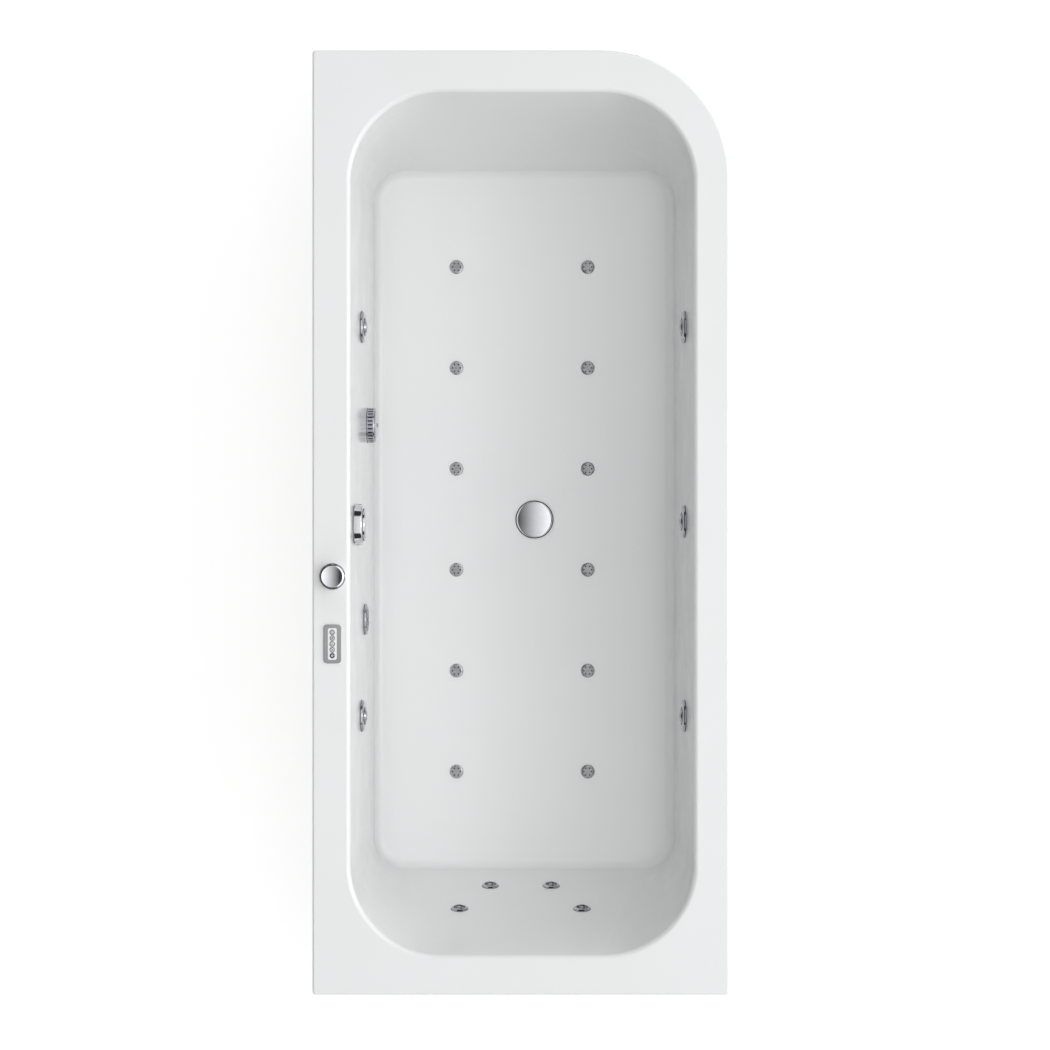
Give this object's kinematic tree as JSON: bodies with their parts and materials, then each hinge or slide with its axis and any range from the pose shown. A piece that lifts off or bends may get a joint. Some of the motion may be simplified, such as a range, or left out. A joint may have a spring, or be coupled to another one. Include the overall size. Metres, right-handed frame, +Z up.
{
  "type": "jetted bathtub",
  "caption": "Jetted bathtub with one large rounded rim corner, wall and floor jets, pop-up waste, rim panel, and pump, blower, pipework and steel cradle beneath.",
  "frame": {"origin": "on the ground, under the middle of the rim outline", "axes": "+Z up; +Y along the bath towards the head end (the end with the large rounded corner); +X across, away from the long side that has the panel"},
  "size_m": [0.75, 1.7, 0.6233],
  "materials": {
    "acrylic": "gloss white acrylic with a fibre-reinforced back",
    "board": "raw chipboard under resin",
    "steel_frame": "zinc-plated box section",
    "chrome": "polished chrome plate",
    "pvc_white": "white moulded fitting",
    "pvc_grey": "grey pressure pipe",
    "rubber": "levelling foot pad",
    "zinc": "zinc-plated fastener",
    "pump_paint": "dark painted motor casing",
    "pump_plastic": "black moulded pump end",
    "blower_plastic": "dark moulded blower housing",
    "box_plastic": "light grey enclosure",
    "panel_grey": "mid grey bezel",
    "panel_white": "white keypad overlay",
    "button_white": "white push button",
    "lens": "frosted clear lens"
  },
  "bodies": {
    "tub": {"tub_shell": "acrylic", "base_board": "board", "frame_rail_left": "steel_frame", "frame_rail_right": "steel_frame", "cross_member_head": "steel_frame", "cross_member_foot": "steel_frame", "rim_posts": "steel_frame", "foot_lock_nuts": "zinc", "waste_flange": "chrome", "waste_trap": "pvc_white", "overflow_body": "pvc_white", "overflow_pipe": "pvc_grey", "pump_motor": "pump_paint", "pump_volute": "pump_plastic", "pump_cradle": "steel_frame", "suction_strainer": "chrome", "suction_body": "pvc_white", "side_jet_bodies": "pvc_white", "back_jet_rings": "chrome", "back_jet_bodies": "pvc_white", "water_pipes": "pvc_white", "air_jet_caps": "chrome", "air_jet_bodies": "pvc_white", "air_pipes": "pvc_grey", "air_blower": "blower_plastic", "light_bezel": "chrome", "light_lens": "lens", "air_control_body": "chrome", "panel_frame": "panel_grey", "panel_fascia": "panel_white", "control_box": "box_plastic"},
    "foot_1": {"levelling_foot_1": "zinc"},
    "foot_2": {"levelling_foot_2": "zinc"},
    "foot_3": {"levelling_foot_3": "zinc"},
    "foot_4": {"levelling_foot_4": "zinc"},
    "jet_ring_1": {"side_jet_ring_1": "chrome"},
    "jet_nozzle_1": {"side_jet_nozzle_1": "chrome"},
    "jet_ring_2": {"side_jet_ring_2": "chrome"},
    "jet_nozzle_2": {"side_jet_nozzle_2": "chrome"},
    "jet_ring_3": {"side_jet_ring_3": "chrome"},
    "jet_nozzle_3": {"side_jet_nozzle_3": "chrome"},
    "jet_ring_4": {"side_jet_ring_4": "chrome"},
    "jet_nozzle_4": {"side_jet_nozzle_4": "chrome"},
    "jet_ring_5": {"side_jet_ring_5": "chrome"},
    "jet_nozzle_5": {"side_jet_nozzle_5": "chrome"},
    "jet_ring_6": {"side_jet_ring_6": "chrome"},
    "jet_nozzle_6": {"side_jet_nozzle_6": "chrome"},
    "back_rotor_1": {"back_jet_rotor_1": "pvc_white"},
    "back_rotor_2": {"back_jet_rotor_2": "pvc_white"},
    "back_rotor_3": {"back_jet_rotor_3": "pvc_white"},
    "back_rotor_4": {"back_jet_rotor_4": "pvc_white"},
    "overflow_drum": {"overflow_knob": "chrome"},
    "waste_plug": {"waste_cap": "chrome"},
    "air_knob": {"air_control_knob": "chrome"},
    "button_1": {"panel_button_1": "button_white"},
    "button_2": {"panel_button_2": "button_white"},
    "button_3": {"panel_button_3": "button_white"},
    "button_4": {"panel_button_4": "button_white"},
    "button_5": {"panel_button_5": "button_white"},
    "impeller": {"pump_impeller": "pump_plastic"}
  },
  "joints": [
    {"name": "foot_1_height", "type": "slide", "parent": "tub", "child": "foot_1", "axis": [0, 0, -1], "range_m": [0, 0.03]},
    {"name": "foot_2_height", "type": "slide", "parent": "tub", "child": "foot_2", "axis": [0, 0, -1], "range_m": [0, 0.03]},
    {"name": "foot_3_height", "type": "slide", "parent": "tub", "child": "foot_3", "axis": [0, 0, -1], "range_m": [0, 0.03]},
    {"name": "foot_4_height", "type": "slide", "parent": "tub", "child": "foot_4", "axis": [0, 0, -1], "range_m": [0, 0.03]},
    {"name": "side_jet_1_turn", "type": "hinge", "parent": "tub", "child": "jet_ring_1", "pos_m": [-0.296, 0.3635, 0.39766], "axis": [0.9985, 0, 0.0543], "range_deg": [-90, 90]},
    {"name": "side_jet_1_aim", "type": "hinge", "parent": "jet_ring_1", "child": "jet_nozzle_1", "pos_m": [-0.296, 0.3635, 0.39766], "axis": [0, 1, 0], "range_deg": [-12, 12]},
    {"name": "side_jet_2_turn", "type": "hinge", "parent": "tub", "child": "jet_ring_2", "pos_m": [-0.296, 0.002, 0.39766], "axis": [0.9985, 0, 0.0543], "range_deg": [-90, 90]},
    {"name": "side_jet_2_aim", "type": "hinge", "parent": "jet_ring_2", "child": "jet_nozzle_2", "pos_m": [-0.296, 0.002, 0.39766], "axis": [0, 1, 0], "range_deg": [-12, 12]},
    {"name": "side_jet_3_turn", "type": "hinge", "parent": "tub", "child": "jet_ring_3", "pos_m": [-0.296, -0.3595, 0.39766], "axis": [0.9985, 0, 0.0543], "range_deg": [-90, 90]},
    {"name": "side_jet_3_aim", "type": "hinge", "parent": "jet_ring_3", "child": "jet_nozzle_3", "pos_m": [-0.296, -0.3595, 0.39766], "axis": [0, 1, 0], "range_deg": [-12, 12]},
    {"name": "side_jet_4_turn", "type": "hinge", "parent": "tub", "child": "jet_ring_4", "pos_m": [0.30537, 0.3635, 0.3966], "axis": [-0.9995, 0, 0.0326], "range_deg": [-90, 90]},
    {"name": "side_jet_4_aim", "type": "hinge", "parent": "jet_ring_4", "child": "jet_nozzle_4", "pos_m": [0.30537, 0.3635, 0.3966], "axis": [0, -1, 0], "range_deg": [-12, 12]},
    {"name": "side_jet_5_turn", "type": "hinge", "parent": "tub", "child": "jet_ring_5", "pos_m": [0.30537, 0.002, 0.3966], "axis": [-0.9995, 0, 0.0326], "range_deg": [-90, 90]},
    {"name": "side_jet_5_aim", "type": "hinge", "parent": "jet_ring_5", "child": "jet_nozzle_5", "pos_m": [0.30537, 0.002, 0.3966], "axis": [0, -1, 0], "range_deg": [-12, 12]},
    {"name": "side_jet_6_turn", "type": "hinge", "parent": "tub", "child": "jet_ring_6", "pos_m": [0.30537, -0.3595, 0.3966], "axis": [-0.9995, 0, 0.0326], "range_deg": [-90, 90]},
    {"name": "side_jet_6_aim", "type": "hinge", "parent": "jet_ring_6", "child": "jet_nozzle_6", "pos_m": [0.30537, -0.3595, 0.3966], "axis": [0, -1, 0], "range_deg": [-12, 12]},
    {"name": "back_jet_1_spin", "type": "hinge", "parent": "tub", "child": "back_rotor_1", "pos_m": [-0.1145, -0.72196, 0.36782], "axis": [0, 0.9701, 0.2425], "continuous": true},
    {"name": "back_jet_2_spin", "type": "hinge", "parent": "tub", "child": "back_rotor_2", "pos_m": [0.1145, -0.72196, 0.36782], "axis": [0, 0.9701, 0.2425], "continuous": true},
    {"name": "back_jet_3_spin", "type": "hinge", "parent": "tub", "child": "back_rotor_3", "pos_m": [-0.058, -0.69196, 0.24782], "axis": [0, 0.9701, 0.2425], "continuous": true},
    {"name": "back_jet_4_spin", "type": "hinge", "parent": "tub", "child": "back_rotor_4", "pos_m": [0.058, -0.69196, 0.24782], "axis": [0, 0.9701, 0.2425], "continuous": true},
    {"name": "overflow_turn", "type": "hinge", "parent": "tub", "child": "overflow_drum", "pos_m": [-0.30265, -0.004, 0.52], "axis": [0.9985, 0, 0.0543], "range_deg": [0, 90]},
    {"name": "waste_lift", "type": "slide", "parent": "tub", "child": "waste_plug", "axis": [0, 0, 1], "range_m": [0, 0.012]},
    {"name": "air_knob_turn", "type": "hinge", "parent": "tub", "child": "air_knob", "pos_m": [-0.3387, -0.0971, 0.6], "axis": [0, 0, 1], "range_deg": [0, 180]},
    {"name": "button_1_press", "type": "slide", "parent": "tub", "child": "button_1", "axis": [0, 0, -1], "range_m": [0, 0.0006], "stiffness_N_per_m": 600},
    {"name": "button_2_press", "type": "slide", "parent": "tub", "child": "button_2", "axis": [0, 0, -1], "range_m": [0, 0.0006], "stiffness_N_per_m": 600},
    {"name": "button_3_press", "type": "slide", "parent": "tub", "child": "button_3", "axis": [0, 0, -1], "range_m": [0, 0.0006], "stiffness_N_per_m": 600},
    {"name": "button_4_press", "type": "slide", "parent": "tub", "child": "button_4", "axis": [0, 0, -1], "range_m": [0, 0.0006], "stiffness_N_per_m": 600},
    {"name": "button_5_press", "type": "slide", "parent": "tub", "child": "button_5", "axis": [0, 0, -1], "range_m": [0, 0.0006], "stiffness_N_per_m": 600},
    {"name": "impeller_spin", "type": "hinge", "parent": "tub", "child": "impeller", "pos_m": [-0.165, 0.775, 0.193], "axis": [1, 0, 0], "continuous": true}
  ],
  "couplings": [
    {"joint": "waste_lift", "follows": "overflow_turn", "m_per_rad": 0.0076}
  ]
}
